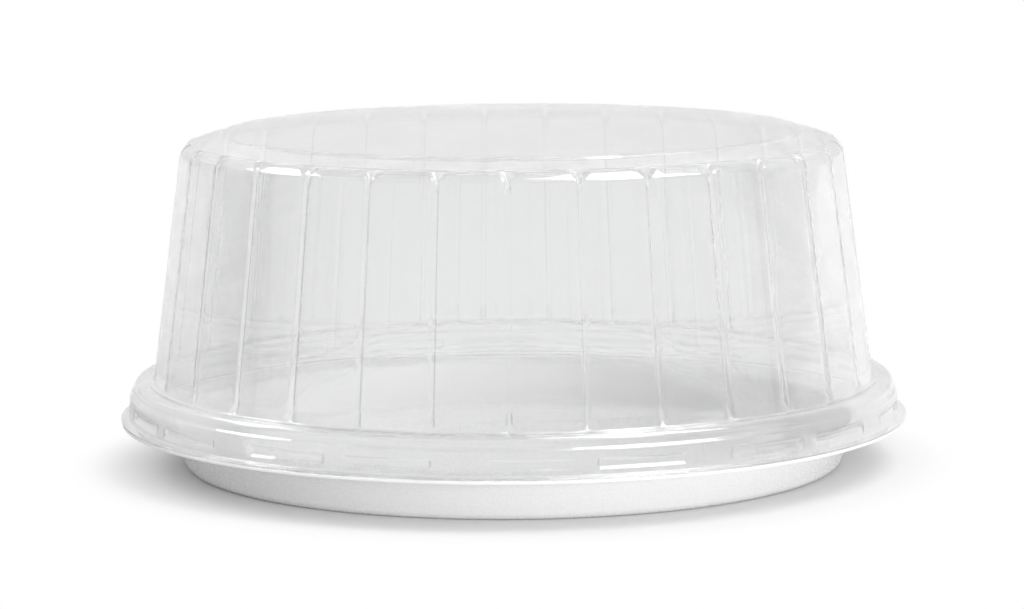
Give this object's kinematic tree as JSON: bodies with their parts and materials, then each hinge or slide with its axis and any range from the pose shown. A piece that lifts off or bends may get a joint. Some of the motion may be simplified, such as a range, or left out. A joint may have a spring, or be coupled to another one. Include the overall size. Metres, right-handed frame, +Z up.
{
  "type": "plastic cake container",
  "caption": "Round cake container: a clear ribbed dome lid with a stepped, flared rim resting on a shallow white tray.",
  "frame": {"origin": "on the ground under the centre of the tray", "axes": "+Z up along the container's axis and the way the lid lifts off, -Y towards the viewer"},
  "size_m": [0.29, 0.29, 0.1233],
  "materials": {
    "white_sheet": "smooth white formed plastic sheet",
    "clear_sheet": "crystal-clear formed plastic sheet"
  },
  "bodies": {
    "tray": {"base_tray": "white_sheet"},
    "lid": {"dome_lid": "clear_sheet"}
  },
  "joints": [
    {"name": "lid_lift", "type": "slide", "parent": "tray", "child": "lid", "axis": [0, 0, 1], "range_m": [0, 0.13]}
  ]
}
